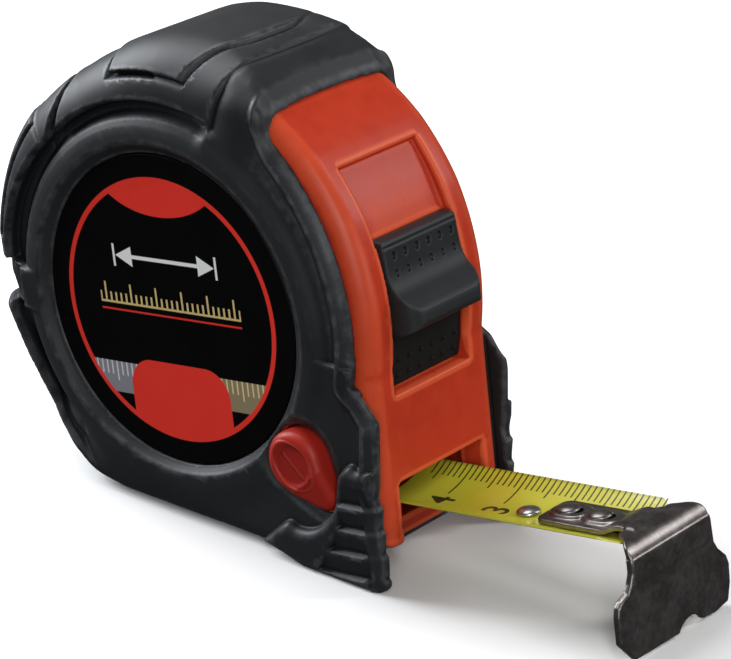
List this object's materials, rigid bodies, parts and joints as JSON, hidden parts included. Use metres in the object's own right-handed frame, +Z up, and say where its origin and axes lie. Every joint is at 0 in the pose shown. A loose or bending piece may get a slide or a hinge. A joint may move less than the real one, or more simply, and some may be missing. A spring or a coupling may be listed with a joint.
{
  "type": "tape measure",
  "caption": "Pocket tape measure with rubber jacket, thumb lock, side stop button and concave steel blade ending in a wide floating hook.",
  "frame": {"origin": "on the flat underside, in the middle plane of the blade, straight below the axis of the reel", "axes": "+X towards the hook, +Y to the belt clip's side, +Z up; the case stands on its flat underside"},
  "size_m": [0.1168, 0.0379, 0.0715],
  "materials": {
    "orange_plastic": "satin moulded plastic, orange-red",
    "black_rubber": "soft matt overmoulded rubber",
    "label": "printed plastic film, black with a red ring",
    "black_plastic": "fine-grained moulded plastic",
    "pale_plastic": "natural moulded nylon",
    "red_plastic": "satin moulded plastic, red",
    "steel": "zinc-plated steel",
    "hook_steel": "dark oxidised steel sheet, bright where it rubs",
    "spring_steel": "blued spring steel",
    "blade_paint": "yellow lacquer over spring steel, printed scale under a clear coat"
  },
  "bodies": {
    "case": {"right_shell": "orange_plastic", "left_shell": "orange_plastic", "right_jacket": "black_rubber", "left_jacket": "black_rubber", "right_label": "label", "left_label": "label", "centre_post": "pale_plastic", "case_screw_1": "steel", "case_screw_2": "steel", "case_screw_3": "steel", "case_screw_4": "steel", "belt_clip": "steel", "clip_screw_1": "steel", "clip_screw_2": "steel"},
    "reel": {"reel_drum": "pale_plastic", "reel_cover": "pale_plastic", "power_spring": "spring_steel", "blade_coil": "blade_paint"},
    "blade": {"blade": "blade_paint", "blade_rivet": "steel", "hook_rivet_1": "steel", "hook_rivet_2": "steel"},
    "hook": {"end_hook": "hook_steel"},
    "thumb_lock": {"lock_slider": "black_plastic", "lock_plate": "black_plastic", "brake_shoe": "black_rubber"},
    "stop_button": {"stop_button": "red_plastic", "stop_pad": "black_rubber", "button_spring": "steel"}
  },
  "joints": [
    {"name": "reel_spin", "type": "hinge", "parent": "case", "child": "reel", "pos_m": [0, 0, 0.032], "axis": [0, -1, 0], "range_deg": [-99.4, 18.5]},
    {"name": "blade_slide", "type": "slide", "parent": "case", "child": "blade", "axis": [0.9945, 0, 0.1045], "range_m": [-0.0368, 0.007]},
    {"name": "hook_float", "type": "slide", "parent": "blade", "child": "hook", "axis": [0.9898, 0, 0.1426], "range_m": [-0.0012, 0]},
    {"name": "thumb_lock_slide", "type": "hinge", "parent": "case", "child": "thumb_lock", "pos_m": [-0.0038, 0, 0.032], "axis": [0, -1, 0], "range_deg": [0, 15]},
    {"name": "stop_button_press", "type": "slide", "parent": "case", "child": "stop_button", "axis": [0, 1, 0], "range_m": [0, 0.0016], "stiffness_N_per_m": 800, "deforming": ["button_spring"]}
  ],
  "couplings": [
    {"joint": "blade_slide", "follows": "reel_spin", "m_per_rad": 0.0212}
  ]
}
